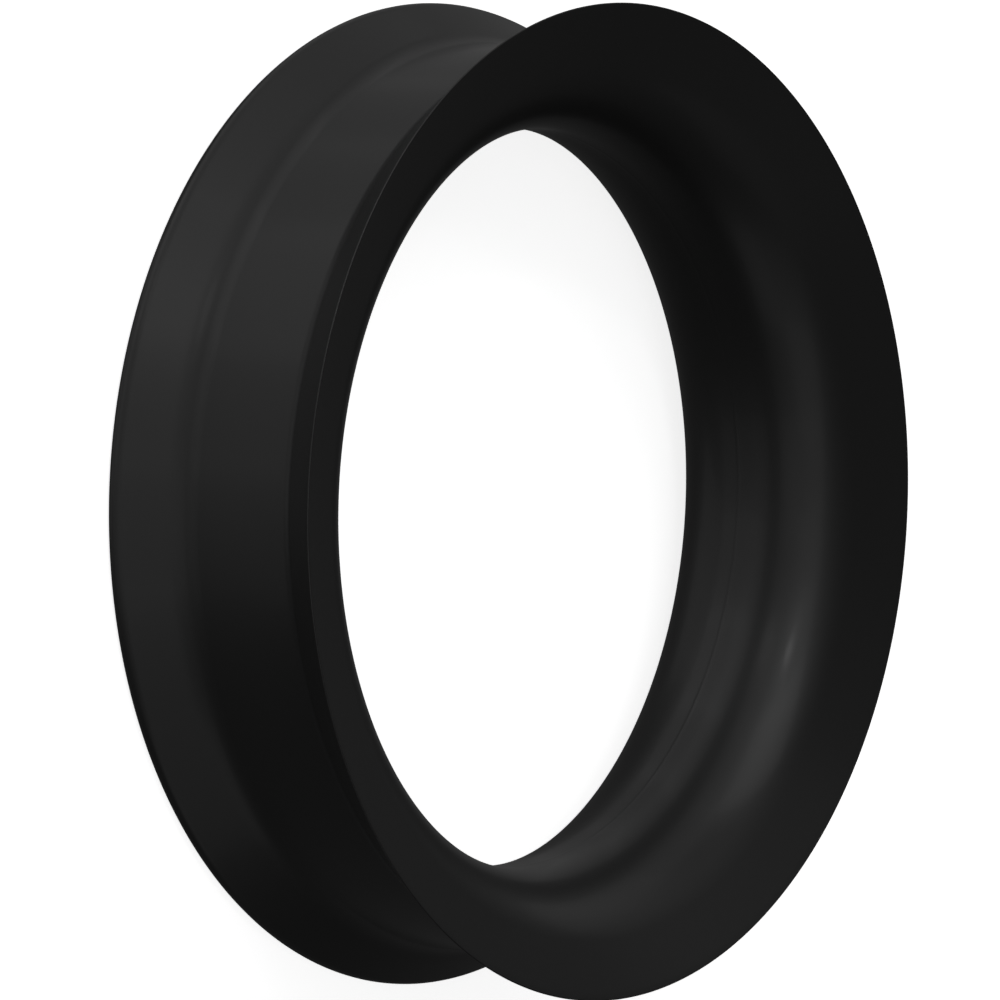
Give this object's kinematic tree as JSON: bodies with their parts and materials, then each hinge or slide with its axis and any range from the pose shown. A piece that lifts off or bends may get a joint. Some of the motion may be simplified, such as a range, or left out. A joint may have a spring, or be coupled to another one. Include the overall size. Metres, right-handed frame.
{
  "type": "ear tunnel",
  "caption": "Round black silicone ear tunnel with an open bore, a curved flare at each end and a groove between the flares that seats in a stretched lobe.",
  "frame": {"origin": "middle of the circle that the lower flare's rim rests on", "axes": "+Z along the tunnel's axis, from the lower flare to the upper one; X and Y are alike"},
  "size_m": [0.0414, 0.0414, 0.0106],
  "materials": {
    "silicone": "satin black moulded silicone rubber"
  },
  "bodies": {
    "root": {"tunnel": "silicone"}
  },
  "joints": []
}
